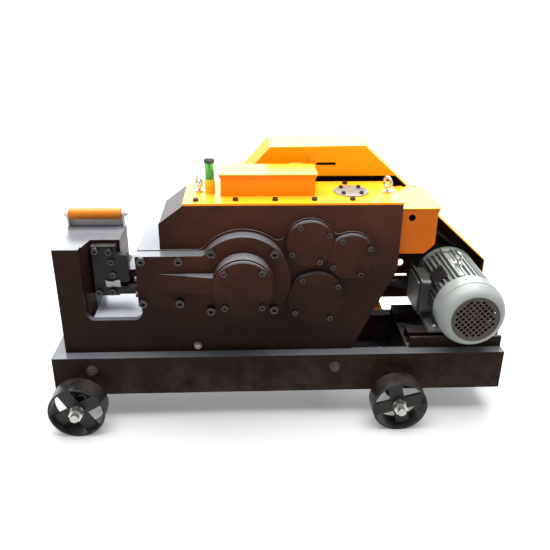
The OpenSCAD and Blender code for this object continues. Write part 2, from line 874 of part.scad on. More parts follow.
module flywheel() {
  color(black) at_origin() sheave(shaft1, fly_r, 42, r_s1 + 0.02, 318, 334, 148);
}

m_out = [motor[0], motor[1]];
module motor_pulley() {
  color(black) at_origin() sheave(m_out, pul_r, 30, 14.02, 318, 334, 0);
}

// outline of a belt run at distances ra, rb from the two axes
module belt_loop(ra, rb, a, b) {
  d = norm(m_out - shaft1);
  u = (m_out - shaft1) / d;
  base_a = atan2(u[1], u[0]);
  t = acos((ra - rb) / d);
  bar_y(shaft1, ra, a, b);
  bar_y(m_out, rb, a, b);
  along_y(a, b) polygon([polar(shaft1, ra, base_a + t), polar(shaft1, ra, base_a - t),
    polar(m_out, rb, base_a - t), polar(m_out, rb, base_a + t)]);
}
module v_belts() {
  color(black) at_origin()
    for (y = belt_y) difference() {
      belt_loop(fly_r - 1, pul_r - 1, y - belt_w / 2, y + belt_w / 2);
      belt_loop(fly_r - 1 - belt_h, pul_r - 1 - belt_h, y - belt_w, y + belt_w);
    }
}

module ring(p, ro, ri, a, b) {
  difference() {
    bar_y(p, ro, a, b);
    bar_y(p, ri, a - eps, b + eps);
  }
}
module bearings() {
  color(steel) at_origin() {
    ring(crank, 54.9, r_cj + fit, -40, 25);
    ring(crank, 59.9, r_cj + fit, in_b + 0.5, body_b - 3);
    ring(shaft3, 59.9, r_s3 + fit, body_y + 1, in_y - 1);
    ring(shaft3, 54.9, r_s3 + fit, in_b + 0.5, body_b - 3);
    for (p = [shaft2, shaft1]) {
      ring(p, 39.9, r_s1 + fit, 32, in_y - 1);
      ring(p, 39.9, r_s1 + fit, in_b + 0.5, body_b - 3);
    }
  }
}

// ---------- motor ----------

// block with round corners across the y-z plane, from x = a to x = b
module pad_x(a, b, y, z, r) {
  box([a, y[0] + r, z[0]], [b, y[1] - r, z[1]]);
  box([a, y[0], z[0] + r], [b, y[1], z[1] - r]);
  for (py = [y[0] + r, y[1] - r], pz = [z[0] + r, z[1] - r])
    translate([a, py, pz]) rotate([0, 90, 0]) cylinder(r = r, h = b - a);
}

// turns about the motor's axis, 0 being straight up
module about_motor(angle) {
  translate([motor[0], 0, motor[1]]) rotate([0, angle, 0]) children();
}

module motor_frame() {
  color(silver) at_origin()
    difference() {
      union() {
        bar_y(motor, 86, 42, 268);
        bar_y(motor, 98, 250, 272);
        bar_y(motor, 70, 272, 280);
        for (k = [0 : fins - 1]) about_motor(360 / fins * (k + 0.5)) box([-2.4, 47, 80], [2.4, 251, 97.5]);
        for (s = [-1, 1])
          along_y(62, 234) polygon([[motor[0] + s * 56, mount_z], [motor[0] + s * 100, mount_z],
            [motor[0] + s * 100, mount_z + 12], [motor[0] + s * 66, mount_z + 12],
            [motor[0] + s * 62, motor[1] - 52], [motor[0] + s * 30, motor[1] - 70]]);
        // flat-topped ridge with a lug at its drive end, and the eyebolt's pad beside it
        box([motor[0] - 32, 50, motor[1] + 78], [motor[0] - 15, 232, motor[1] + 98]);
        box([motor[0] - 34, 220, motor[1] + 78], [motor[0] - 10, 245.5, motor[1] + 104]);
        box([motor[0] - 23, 117, motor[1] + 80], [motor[0] - 1, 143, motor[1] + 99]);
        // seats for the nameplate
        about_motor(plate_turn) box([-23, 86, 80], [-15, 154, plate_r]);
        about_motor(plate_turn) box([15, 86, 80], [23, 154, plate_r]);
        // terminal box
        pad_x(motor[0] - 116, motor[0] - 66, [112, 238], [292, 400], 16);
      }
      bar_y(motor, 74, 50, 262);
      bar_y(motor, 22, 40, 300);
      for (x = foot_x, y = foot_y) translate([x, y, mount_z - eps]) cylinder(r = 6.1, h = 50);
      translate([1216, 130, 440]) cylinder(r = 5.1, h = 30);
    }
}

module nameplate() {
  color(zinc) at_origin() about_motor(plate_turn) difference() {
    box([-24, 82, plate_r], [24, 158, plate_r + 1.5]);
    for (x = [-19, 19], y = [89, 151]) translate([x, y, plate_r + 0.7]) cylinder(r = 2, h = 2);
  }
}

module motor_shaft() {
  color(steel) at_origin() {
    bar_y(motor, 14, -20, belt_y[2] + 10);
    bar_y(motor, 66, 74, 250);
    // fan behind the cowl
    bar_y(motor, 24, -14, 38);
    bar_y(motor, 88, 33, 37);
    for (k = [0 : 6]) about_motor(360 / 7 * k + 4) box([-1.5, -9, 15], [1.5, 34, 84]);
  }
}

module fan_cowl() {
  a = -42;
  b = 46;
  color(silver) at_origin()
    difference() {
      translate([motor[0], 0, motor[1]]) rotate([-90, 0, 0]) rotate_extrude($fn = 64)
        polygon([[0, a + 2], [66, a + 2], [68, a], [71, a], [80, a + 4], [88, a + 11], [93.5, a + 20],
          [cowl_r - 2.2, a + 30], [cowl_r - 1, a + 38], [cowl_r - 2, a + 39], [cowl_r - 2, a + 41],
          [cowl_r, a + 42], [cowl_r, b], [cowl_r - 2.5, b], [cowl_r - 2.5, a + 48], [cowl_r - 5, a + 37],
          [90, a + 24], [84, a + 14], [76, a + 7], [69, a + 5], [0, a + 5]]);
      // square air holes in a diagonal grid
      translate([motor[0], a + 7, motor[1]]) rotate([90, 0, 0]) linear_extrude(9)
        for (i = [-5 : 5], j = [-5 : 5])
          if (norm([i, j]) * 12.5 < 56) rotate([0, 0, 45]) translate([i * 12.5 - 4.4, j * 12.5 - 4.4]) square(8.8);
      for (k = [-12, 108, 228]) about_motor(k) translate([0, 22, 80]) cylinder(r = 2.6, h = 40);
    }
}

module terminal_cover() {
  color(silver) at_origin()
    difference() {
      union() {
        pad_x(motor[0] - 122, motor[0] - 116, [106, 244], [286, 406], 20);
        pad_x(motor[0] - 130, motor[0] - 121, [116, 234], [296, 396], 14);
      }
      for (y = [117, 233], z = [297, 395])
        translate([motor[0] - 123, y, z]) rotate([0, 90, 0]) cylinder(r = 4.5, h = 3);
    }
}

module mount_rail(xa, ya, yb) {
  difference() {
    box([xa, ya, deck_z], [base_l - 2, yb, mount_z]);
    box([xa - eps, ya + 6, deck_z - eps], [base_l, yb - 6, mount_z - 8]);
    for (x = foot_x, y = foot_y) translate([x, y, deck_z]) cylinder(r = 6.1, h = 80);
  }
}
module motor_mount() {
  color(dark) at_origin() {
    box([1067, 33.6, deck_z], [base_l - 2, 42.6, mount_z]);
    mount_rail(1067, 64, 110);
    mount_rail(1053, 190, 250);
  }
}

// ---------- sheet work ----------

module guard_side(a, b) {
  along_y(a, b) polygon([[gx[0], gz[0]], [gx[1], gz[1]], [gx[2], gz[2]], [gx[3], gz[3]],
    [gx[3], 230], [1322, 200], [1000, 200], [700, 372], [590, 560]]);
}
// folded edge strip between two outline points, on the inner side of the outline
module strip(p, q, a, b) {
  n = [-(q - p)[1], (q - p)[0]] / norm(q - p) * -sheet_t;
  along_y(a, b) polygon([p, q, q + n, p + n]);
}
module guard_panel() {
  color(orange) at_origin()
    difference() {
      guard_side(guard_back - sheet_t, guard_back);
      bar_y([1112, 335.5], 12, guard_back - 10, guard_back + 10);
      box([1098, guard_back - 10, 284], [1140, guard_back + 10, 292]);
    }
}

module belt_guard() {
  p = [for (i = [0 : 3]) [gx[i], gz[i]]];
  color(orange) at_origin() {
    difference() {
      union() {
        strip(p[0], p[1], guard_f, guard_in);
        strip(p[1], p[2], guard_f, guard_in);
        strip(p[2], p[3], guard_f, guard_in);
        box([gx[3] - sheet_t, guard_f, 340], [gx[3], guard_in, gz[3] - 2]);
        along_y(guard_f, guard_f + sheet_t) polygon([[gx[0] + 1, gz[0] + 1], [gx[1], gz[1] - 1],
          [gx[2], gz[2] - 1], [1034, 691]]);
      }
      box([788, guard_f - eps, 724.5], [847, guard_f + 10, 732.5]);
    }
    // small upright tab on the front sheet
    box([763.5, guard_f - 4, 734], [766.5, guard_f + 0.5, 760]);
    // stand-offs to the body and to the base
    for (x = standoff_x) {
      box([x, body_b, 640], [x + 36, body_b + 4, lid_z - 2]);
      box([x, body_b + 3.9, 668], [x + 36, guard_f - 3.9, 672]);
      box([x, guard_f - 4, 668], [x + 36, guard_f, 720]);
    }
    for (x = [1010, 1270]) box([x, base_w, 200], [x + 30, guard_in, 206]);
  }
}

ebox_x = [body_r, 1112];
ebox_y = [50, 252];
ebox_z = [522, 655];
hinge_2 = [ebox_y[1] + 4.2, ebox_z[1] + 2];
module electric_box() {
  t = sheet_t;
  color(orange) at_origin()
    difference() {
      union() {
        along_y(ebox_y[0], ebox_y[1]) polygon([[ebox_x[0], ebox_z[0]], [ebox_x[0], ebox_z[1]],
          [ebox_x[1], ebox_z[1]], [ebox_x[1], ebox_z[0] + 28], [ebox_x[1] - 28, ebox_z[0]]]);
        for (x = [1018, 1084]) {
          box([x, ebox_y[1] - eps, ebox_z[1] - 15], [x + 18, hinge_2[0] + 1, ebox_z[1] - 0.1]);
          knuckle(x, hinge_2);
        }
      }
      along_y(ebox_y[0] + t, ebox_y[1] - t) polygon([[ebox_x[0] + t, ebox_z[0] + t],
        [ebox_x[0] + t, ebox_z[1] + 5], [ebox_x[1] - t, ebox_z[1] + 5], [ebox_x[1] - t, ebox_z[0] + 29.2],
        [ebox_x[1] - 29.2, ebox_z[0] + t]]);
      bar_y([1039.5, 630], 10, ebox_y[0] - eps, ebox_y[0] + 10);
    }
}
module electric_box_lid() {
  color(orange) at_origin() {
    box([ebox_x[0] + 3, ebox_y[0] - 2, ebox_z[1] + 0.3], [ebox_x[1] + 10, ebox_y[1] + 0.9, ebox_z[1] + 3.3]);
    box([ebox_x[1] + 0.4, ebox_y[0] - 2, ebox_z[1] - 10], [ebox_x[1] + 3.4, ebox_y[1] + 0.9, ebox_z[1] + 1]);
    for (x = [1036.5, 1065.5]) {
      box([x, ebox_y[1], ebox_z[1] + 0.3], [x + 18, hinge_2[0], ebox_z[1] + 3.3]);
      knuckle(x, hinge_2);
    }
  }
}

// ---------- handle ----------

grip = [228, 588];
module rod_x(r, a, b) {
  translate([a, grip[0], grip[1]]) rotate([0, 90, 0]) cylinder(r = r, h = b - a);
}
module handle_bracket() {
  color(steel) at_origin() {
    rod_x(7, 28, 218);
    for (x = [36, 202]) {
      box([x, 219, head_z], [x + 6, 239, grip[1]]);
      translate([x, grip[0], grip[1]]) rotate([0, 90, 0]) cylinder(r = 13, h = 6);
    }
    box([36, 234, head_z], [208, 239, grip[1] - 19]);
    for (x = [28.5, 208]) translate([x, grip[0], grip[1]]) rotate([0, 90, 0]) cylinder(r = 11.5, h = 7.5, $fn = 6);
  }
}
module handle_grip() {
  color(orange) at_origin()
    difference() {
      rod_x(18, 44, 200);
      rod_x(7 + fit, 40, 210);
    }
}

// ---------- selection ----------
side_rails();
cross_members();
axle_brackets();
axles();
wheel_front_left();
wheel_front_right();
wheel_rear_left();
wheel_rear_right();
wheel_nuts();
frame_bolts();
front_plate();
rear_plate();
head_column();
jaw_block();
head_foot();
bar_rest();
ram_guides();
gearbox_walls();
slide_cover();
shaft_caps();
cover_bolts();
drain_plug();
top_cover();
inspection_box();
inspection_lid();
round_cover();
eyebolts();
oil_cup_base();
oil_cup_glass();
oil_cup_cap();
blade_holder();
fixed_blade();
blade_screws();
moving_blade();
ram();
connecting_rod();
wrist_pin();
crankshaft();
crank_gear();
third_shaft();
third_gear();
second_shaft();
second_gear();
input_shaft();
flywheel();
bearings();
v_belts();
motor_pulley();
motor_frame();
motor_shaft();
fan_cowl();
terminal_cover();
nameplate();
motor_mount();
belt_guard();
guard_panel();
electric_box();
electric_box_lid();
handle_bracket();
handle_grip();
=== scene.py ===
import json
import math

import bmesh
import bpy
from mathutils import Matrix, Vector


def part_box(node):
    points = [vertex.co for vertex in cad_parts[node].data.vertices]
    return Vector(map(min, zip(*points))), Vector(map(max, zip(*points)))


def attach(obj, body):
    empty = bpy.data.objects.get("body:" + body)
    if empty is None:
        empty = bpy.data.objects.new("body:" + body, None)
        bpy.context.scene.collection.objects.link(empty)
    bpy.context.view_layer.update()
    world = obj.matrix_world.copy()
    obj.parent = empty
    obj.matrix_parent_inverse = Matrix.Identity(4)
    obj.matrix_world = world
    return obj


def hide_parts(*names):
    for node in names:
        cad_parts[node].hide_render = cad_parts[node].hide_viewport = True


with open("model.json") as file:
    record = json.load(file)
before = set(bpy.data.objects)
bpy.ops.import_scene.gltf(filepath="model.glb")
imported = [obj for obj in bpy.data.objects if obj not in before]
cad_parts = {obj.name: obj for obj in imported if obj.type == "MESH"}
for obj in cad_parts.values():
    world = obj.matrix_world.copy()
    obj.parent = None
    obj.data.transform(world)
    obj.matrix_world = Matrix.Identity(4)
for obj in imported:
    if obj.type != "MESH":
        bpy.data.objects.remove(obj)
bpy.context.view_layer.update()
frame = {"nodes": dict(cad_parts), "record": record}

NODES = frame["nodes"]
BODY_OF = {n: b for b, ns in frame["record"]["behaviour"]["bodies"].items() for n in ns}
SLOT_OF = {s["node"]: s["material_slot"] for s in frame["record"]["subparts"]}
MM = 0.001

# ---------------------------------------------------------------- materials


class Graph:
    """Small helper that builds a Principled node graph."""

    def __init__(self, name):
        self.mat = bpy.data.materials.new(name)
        self.mat.use_nodes = True
        self.t = self.mat.node_tree
        self.t.nodes.clear()
        self.out = self.t.nodes.new("ShaderNodeOutputMaterial")
        self.bsdf = self.t.nodes.new("ShaderNodeBsdfPrincipled")
        self.t.links.new(self.bsdf.outputs[0], self.out.inputs["Surface"])
        self.coord = self.t.nodes.new("ShaderNodeTexCoord").outputs["Object"]
        self.geo = self.t.nodes.new("ShaderNodeNewGeometry")

    def link(self, a, b):
        self.t.links.new(a, b)

    def put(self, socket, value):
        if hasattr(value, "is_output"):
            self.link(value, socket)
        else:
            socket.default_value = value

    def stretch(self, scale, rotation=(0, 0, 0)):
        m = self.t.nodes.new("ShaderNodeMapping")
        m.inputs["Scale"].default_value = scale
        m.inputs["Rotation"].default_value = rotation
        self.link(self.coord, m.inputs["Vector"])
        return m.outputs[0]

    def noise(self, scale, detail=4, rough=0.55, vector=None, distort=0.0):
        n = self.t.nodes.new("ShaderNodeTexNoise")
        n.inputs["Scale"].default_value = scale
        n.inputs["Detail"].default_value = detail
        n.inputs["Roughness"].default_value = rough
        n.inputs["Distortion"].default_value = distort
        self.link(vector or self.coord, n.inputs["Vector"])
        return n.outputs["Fac"]

    def ramp(self, value, low, high, a=0.0, b=1.0):
        n = self.t.nodes.new("ShaderNodeMapRange")
        n.clamp = True
        self.put(n.inputs["Value"], value)
        n.inputs["From Min"].default_value = low
        n.inputs["From Max"].default_value = high
        n.inputs["To Min"].default_value = a
        n.inputs["To Max"].default_value = b
        return n.outputs[0]

    def math(self, op, a, b=0.0):
        n = self.t.nodes.new("ShaderNodeMath")
        n.operation = op
        n.use_clamp = op in ("MULTIPLY", "ADD", "SUBTRACT")
        self.put(n.inputs[0], a)
        self.put(n.inputs[1], b)
        return n.outputs[0]

    def mix(self, fac, a, b):
        n = self.t.nodes.new("ShaderNodeMix")
        n.data_type = "RGBA"
        self.put(n.inputs[0], fac)
        self.put(n.inputs[6], a)
        self.put(n.inputs[7], b)
        return n.outputs[2]

    def up(self):
        """1 on faces that look up, 0 on upright and downward ones."""
        s = self.t.nodes.new("ShaderNodeSeparateXYZ")
        self.link(self.geo.outputs["Normal"], s.inputs[0])
        return self.ramp(s.outputs[2], 0.5, 0.95)

    def place(self, axis):
        s = self.t.nodes.new("ShaderNodeSeparateXYZ")
        self.link(self.coord, s.inputs[0])
        return s.outputs[axis]

    def height(self):
        return self.place(2)

    def edges(self, radius, low=0.02, high=0.2):
        """1 along outside and inside edges, from how far the rounded normal leans."""
        b = self.t.nodes.new("ShaderNodeBevel")
        b.samples = 4
        b.inputs["Radius"].default_value = radius
        d = self.t.nodes.new("ShaderNodeVectorMath")
        d.operation = "DOT_PRODUCT"
        self.link(b.outputs[0], d.inputs[0])
        self.link(self.geo.outputs["Normal"], d.inputs[1])
        return self.ramp(self.math("SUBTRACT", 1.0, d.outputs["Value"]), low, high)

    def bump(self, pairs):
        """pairs of (height, strength, distance) chained into one normal."""
        last = None
        for h, strength, distance in pairs:
            n = self.t.nodes.new("ShaderNodeBump")
            n.inputs["Strength"].default_value = strength
            n.inputs["Distance"].default_value = distance
            self.link(h, n.inputs["Height"])
            if last:
                self.link(last, n.inputs["Normal"])
            last = n.outputs[0]
        self.link(last, self.bsdf.inputs["Normal"])

    def set(self, **kw):
        names = {"color": "Base Color", "metal": "Metallic", "rough": "Roughness", "coat": "Coat Weight",
                 "coat_rough": "Coat Roughness", "ior": "IOR",
                 "transmission": "Transmission Weight"}
        for k, v in kw.items():
            self.put(self.bsdf.inputs[names[k]], v)
        return self


def rgb(r, g, b):
    return (r, g, b, 1.0)


def paint(name, base, dark, light, rough=0.3, coat=0.5, peel=0.25, dust=0.3, wear=(0.3, 0.3, 0.3), chips=0.35,
          grime=0.35, ior=1.3, high=None, painted_sheen=None, gloss=0.0):
    """Sprayed machine enamel: mottled tone, orange peel, dust on top faces, rubbed edges and a few chips.

    high is the tone the body turns to towards the top, painted light from the top lamp;
    the sheen colour is a painted reflection of the lamps on faces that look up, and gloss their coat.
    """
    g = Graph(name)
    cloud = g.noise(3.5, 5, 0.6)
    fine = g.noise(38, 6, 0.65)
    grit = g.noise(420, 3, 0.6)
    tone = rgb(*base)
    # painted light: towards the top the body turns lighter and redder, as the top lamp lights it, and only a
    # little at the far left
    if high:
        behind_head = g.ramp(g.place(0), -0.46, -0.30, 0.15, 1.0)
        top_light_mask = g.math("MULTIPLY", g.ramp(g.height(), 0.24, 0.64), behind_head)
        tone = g.mix(top_light_mask, tone, rgb(*high))
    col = g.mix(g.ramp(cloud, 0.35, 0.7, 0.25, 1.0), rgb(*dark), tone)
    col = g.mix(g.ramp(fine, 0.5, 0.85, 0.0, 0.35), col, rgb(*light))
    low = g.ramp(g.height(), 0.05, 0.26, grime, 0.0)
    soot = g.math("MULTIPLY", low, g.ramp(g.noise(14, 5, 0.7), 0.35, 0.65))
    col = g.mix(soot, col, rgb(0.09, 0.075, 0.06))
    # painted reflection: faces that look up are painted a paler colour in place of the lamps' glare
    if painted_sheen:
        col = g.mix(g.math("MULTIPLY", g.up(), g.ramp(cloud, 0.3, 0.7, 0.75, 1.0)), col, rgb(*painted_sheen))
    dusty = g.math("MULTIPLY", g.up(), g.ramp(g.noise(9, 6, 0.7), 0.4, 0.75, 0.0, dust))
    col = g.mix(dusty, col, rgb(0.42, 0.40, 0.37))
    rub = g.math("MULTIPLY", g.edges(0.0016), g.ramp(g.noise(60, 5, 0.7), 0.52, 0.62, 0.0, chips))
    col = g.mix(rub, col, rgb(*wear))
    scratch = g.ramp(g.noise(30, 4, 0.8, g.stretch((1.0, 1.0, 26.0), (0.2, 0.5, 0.3))), 0.70, 0.74, 0.0, 0.22)
    col = g.mix(scratch, col, rgb(*light))
    r = g.math("ADD", g.ramp(fine, 0.3, 0.8, rough - 0.06, rough + 0.10), g.math("MULTIPLY", dusty, 0.4))
    r = g.math("ADD", r, g.math("MULTIPLY", soot, 0.3))
    if gloss:
        coat = g.math("MULTIPLY", g.up(), gloss)
    g.set(color=col, rough=r, coat=coat, coat_rough=0.22, ior=ior)
    g.bump([(grit, peel * 0.25, 0.0004), (g.noise(130, 2, 0.4), peel, 0.0006), (rub, 0.2, 0.0003)])
    return g.mat


def metal(name, base, dark, rough=0.3, grain=(1, 1, 1), grain_scale=120, stain=0.3, rust=0.0):
    """Machined or plated steel with tool marks, staining and a little rust in scattered spots."""
    g = Graph(name)
    lines = g.noise(grain_scale, 4, 0.7, g.stretch(grain))
    blot = g.noise(22, 6, 0.65)
    col = g.mix(g.ramp(blot, 0.4, 0.75, 0.0, stain * 1.5), rgb(*base), rgb(*dark))
    col = g.mix(g.ramp(lines, 0.45, 0.7, 0.0, 0.3), col, rgb(*dark))
    if rust > 0:
        spots = g.math("MULTIPLY", g.ramp(g.noise(75, 6, 0.75), 0.58, 0.68),
                       g.ramp(blot, 0.45, 0.6, 0.0, rust))
        col = g.mix(spots, col, rgb(0.16, 0.06, 0.025))
    r = g.ramp(g.noise(65, 5, 0.7), 0.3, 0.75, rough - 0.07, rough + 0.16)
    g.set(color=col, metal=0.95, rough=r)
    g.bump([(lines, 0.18, 0.0003), (g.noise(300, 4, 0.6), 0.12, 0.0002)])
    return g.mat


def rubber(name, base):
    g = Graph(name)
    worn = [c * 2.2 for c in base]
    col = g.mix(g.ramp(g.noise(90, 5, 0.7), 0.4, 0.7), rgb(*base), rgb(*worn))
    g.set(color=col, rough=g.ramp(g.noise(40, 4), 0.3, 0.8, 0.55, 0.8))
    g.bump([(g.noise(500, 3), 0.3, 0.0003)])
    return g.mat


def glass(name, tint):
    g = Graph(name)
    deep = rgb(tint[0] * 0.6, tint[1] * 0.7, tint[2] * 0.6)
    col = g.mix(g.ramp(g.noise(30, 3), 0.3, 0.8), rgb(*tint), deep)
    g.set(color=col, rough=g.ramp(g.noise(80, 4), 0.3, 0.8, 0.04, 0.16), transmission=0.75, ior=1.46)
    g.bump([(g.noise(60, 2), 0.05, 0.0003)])
    return g.mat


M = {
    # the high tone is painted top light on the body, and the pale blue-grey for faces that look up is a
    # painted reflection
    "frame_paint": paint(
        "frame_paint", (0.0175, 0.0085, 0.0055), (0.010, 0.0055, 0.0038), (0.034, 0.02, 0.015),
        rough=0.33, coat=0.0, dust=0.05, wear=(0.16, 0.14, 0.12), ior=1.13,
        high=(0.078, 0.0265, 0.0165), painted_sheen=(0.13, 0.137, 0.148), gloss=0.45),
    # painted reflection: the dark body's top faces painted pale grey-blue in place of the lamps' glare
    "head_top_painted_glare": paint(
        "head_top_painted_glare", (0.115, 0.12, 0.13), (0.085, 0.089, 0.097), (0.17, 0.177, 0.19), rough=0.3,
        coat=0.0, dust=0.05, wear=(0.4, 0.4, 0.4), grime=0.0, ior=1.2, gloss=0.5),
    # the frame paint again, with a darker painted reflection on the motor mount's top faces
    "mount_paint_dim_glare": paint(
        "mount_paint_dim_glare", (0.0175, 0.0085, 0.0055), (0.010, 0.0055, 0.0038), (0.034, 0.02, 0.015),
        rough=0.33, coat=0.0, dust=0.1, wear=(0.16, 0.14, 0.12), ior=1.13, painted_sheen=(0.04, 0.036, 0.035),
        gloss=0.16),
    # painted reflection: the chute floor's upward faces painted pale grey, standing in for light from behind
    "chute_painted_glare": paint(
        "chute_painted_glare", (0.62, 0.64, 0.68), (0.45, 0.465, 0.49), (0.8, 0.82, 0.85), rough=0.3, coat=0.0,
        dust=0.1, wear=(0.5, 0.5, 0.5), grime=0.0, ior=1.4, gloss=0.6),
    "blade_black": paint(
        "blade_black", (0.0155, 0.014, 0.013), (0.009, 0.0085, 0.008), (0.036, 0.034, 0.032), rough=0.4,
        coat=0.0, dust=0.1, wear=(0.22, 0.21, 0.2), chips=0.5, grime=0.0, ior=1.25, gloss=0.25),
    "wheel_paint": paint(
        "wheel_paint", (0.009, 0.008, 0.0075), (0.004, 0.004, 0.004), (0.05, 0.045, 0.04), rough=0.3,
        coat=0.0, dust=0.15, chips=0.8, wear=(0.3, 0.28, 0.26), grime=0.2, ior=1.35, gloss=0.35),
    # the paler, yellower colour for faces that look up is a painted reflection
    "orange_paint": paint(
        "orange_paint", (0.85, 0.265, 0.0015), (0.78, 0.225, 0.0015), (0.92, 0.33, 0.006), rough=0.36,
        coat=0.0, dust=0.05, wear=(0.35, 0.16, 0.08), chips=0.3, grime=0.2, ior=1.2,
        painted_sheen=(0.86, 0.34, 0.006), gloss=0.25),
    # painted light: a yellower copy of the orange paint for the belt guard's front faces, with a painted
    # reflection on faces that look up
    "guard_front_painted_light": paint(
        "guard_front_painted_light", (0.78, 0.35, 0.002), (0.72, 0.30, 0.002), (0.88, 0.42, 0.008), rough=0.36,
        coat=0.0, dust=0.05, wear=(0.35, 0.16, 0.08), chips=0.3, grime=0.2, ior=1.2,
        painted_sheen=(0.86, 0.42, 0.01), gloss=0.25),
    # painted shade: a darker copy of the orange paint, on the electric box and the guard panel
    "orange_painted_shade": paint(
        "orange_painted_shade", (0.50, 0.105, 0.0015), (0.43, 0.085, 0.0015), (0.6, 0.15, 0.004), rough=0.36,
        coat=0.0, dust=0.05, wear=(0.3, 0.13, 0.06), chips=0.3, grime=0.0, ior=1.2),
    "grip_orange": paint(
        "grip_orange", (0.62, 0.185, 0.011), (0.54, 0.15, 0.009), (0.74, 0.27, 0.03), rough=0.34,
        coat=0.0, dust=0.05, wear=(0.35, 0.16, 0.08), chips=0.35, grime=0.0, ior=1.3, gloss=0.3),
    # painted shade: near-black red-brown on the guard's inside and underside faces, where shade falls
    "guard_inside_painted_shade": paint(
        "guard_inside_painted_shade", (0.045, 0.009, 0.003), (0.025, 0.006, 0.003), (0.09, 0.018, 0.006), rough=0.5,
        coat=0.0, dust=0.2, ior=1.2),
    "motor_paint": paint(
        "motor_paint", (0.23, 0.255, 0.235), (0.15, 0.17, 0.155), (0.34, 0.37, 0.35), rough=0.34,
        coat=0.0, peel=0.45, dust=0.15, wear=(0.45, 0.45, 0.44), chips=0.5, grime=0.0, ior=1.4,
        gloss=0.4),
    "cowl_paint": paint(
        "cowl_paint", (0.27, 0.29, 0.275), (0.21, 0.225, 0.21), (0.36, 0.385, 0.37), rough=0.36,
        coat=0.0, peel=0.3, dust=0.1, wear=(0.4, 0.4, 0.4), chips=0.3, grime=0.0, gloss=0.3),
    # painted shade: the cowl's flat front painted dark brown, a shaded copy of the cowl paint
    "cowl_front_painted_shade": paint(
        "cowl_front_painted_shade", (0.062, 0.048, 0.038), (0.046, 0.036, 0.029), (0.1, 0.082, 0.066), rough=0.38,
        coat=0.0, peel=0.3, dust=0.1, wear=(0.3, 0.29, 0.27), chips=0.3, grime=0.0),
    # painted shade: a dark copy of the motor paint on the terminal box and the motor's left side
    "motor_side_painted_shade": paint(
        "motor_side_painted_shade", (0.06, 0.064, 0.058), (0.038, 0.041, 0.037), (0.1, 0.106, 0.098), rough=0.36,
        coat=0.0, peel=0.4, dust=0.15, wear=(0.3, 0.3, 0.29), chips=0.4, grime=0.0, gloss=0.4),
    "zinc": metal("zinc", (0.66, 0.64, 0.58), (0.42, 0.40, 0.36), rough=0.28, rust=0.12),
    "dull_zinc": metal("dull_zinc", (0.30, 0.28, 0.25), (0.16, 0.15, 0.13), rough=0.42, rust=0.2),
    "plate_steel": metal(
        "plate_steel", (0.26, 0.255, 0.245), (0.12, 0.117, 0.112), rough=0.28, grain=(1, 8, 1)),
    "bolt_dark": paint(
        "bolt_dark", (0.05, 0.04, 0.034), (0.03, 0.024, 0.02), (0.12, 0.1, 0.09), rough=0.34, coat=0.0,
        dust=0.1, wear=(0.3, 0.28, 0.26), chips=0.6, grime=0.3, gloss=0.5),
    "bare_steel": metal(
        "bare_steel", (0.52, 0.50, 0.47), (0.3, 0.28, 0.26), rough=0.3, grain=(1, 14, 1), rust=0.25),
    "pale_plate": paint(
        "pale_plate", (0.72, 0.73, 0.75), (0.6, 0.61, 0.63), (0.86, 0.87, 0.88), rough=0.34, coat=0.0,
        dust=0.05, wear=(0.4, 0.4, 0.4), chips=0.3, grime=0.0),
    "black_screws": metal(
        "black_screws", (0.066, 0.06, 0.055), (0.026, 0.023, 0.021), rough=0.36, stain=0.5, rust=0.15),
    "grey_plate": metal("grey_plate", (0.33, 0.34, 0.33), (0.2, 0.2, 0.19), rough=0.4, grain=(1, 9, 1)),
    "blade_steel": metal(
        "blade_steel", (0.10, 0.09, 0.082), (0.05, 0.045, 0.04), rough=0.36, grain=(1, 1, 18), rust=0.2),
    "lip_steel": metal(
        "lip_steel", (0.40, 0.40, 0.40), (0.3, 0.3, 0.3), rough=0.3, grain=(1, 12, 1), grain_scale=60,
        stain=0.15),
    "gear_steel": metal("gear_steel", (0.45, 0.43, 0.40), (0.25, 0.23, 0.2), rough=0.28, stain=0.4),
    "shaft_steel": metal(
        "shaft_steel", (0.55, 0.54, 0.52), (0.35, 0.34, 0.32), rough=0.25, grain=(1, 14, 1)),
    "cast_black": paint(
        "cast_black", (0.016, 0.015, 0.014), (0.009, 0.009, 0.009), (0.04, 0.037, 0.034), rough=0.45,
        coat=0.0, peel=0.6, dust=0.3, grime=0.0),
    "belt_rubber": rubber("belt_rubber", (0.012, 0.012, 0.012)),
    "green_glass": glass("green_glass", (0.22, 0.85, 0.16)),
    "oil": glass("oil", (0.36, 0.82, 0.07)),
    "cup_yellow": paint(
        "cup_yellow", (0.82, 0.56, 0.02), (0.72, 0.46, 0.015), (0.9, 0.68, 0.06), rough=0.3, coat=0.0,
        dust=0.05, wear=(0.5, 0.4, 0.2), chips=0.2, grime=0.0),
    "grey_cap": paint(
        "grey_cap", (0.075, 0.08, 0.078), (0.05, 0.053, 0.052), (0.13, 0.135, 0.13), rough=0.42,
        coat=0.0, dust=0.2, grime=0.0, chips=0.1),
}

# ---------------------------------------------------------------- mesh helpers


def finish_piece(obj, body, mat, nodes=()):
    obj.data.materials.clear()
    for m in (mat if isinstance(mat, (list, tuple)) else [mat]):
        obj.data.materials.append(M[m])
    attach(obj, body)
    if nodes:
        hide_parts(*nodes)
    return obj


def object_from(bm, name):
    me = bpy.data.meshes.new(name)
    bm.normal_update()
    bm.to_mesh(me)
    bm.free()
    obj = bpy.data.objects.new(name, me)
    bpy.context.scene.collection.objects.link(obj)
    return obj


def shade(obj, angle=35):
    for p in obj.data.polygons:
        p.use_smooth = True
    obj.data.set_sharp_from_angle(angle=math.radians(angle))
    mod = obj.modifiers.new("weighted", "WEIGHTED_NORMAL")
    mod.keep_sharp = True
    return obj


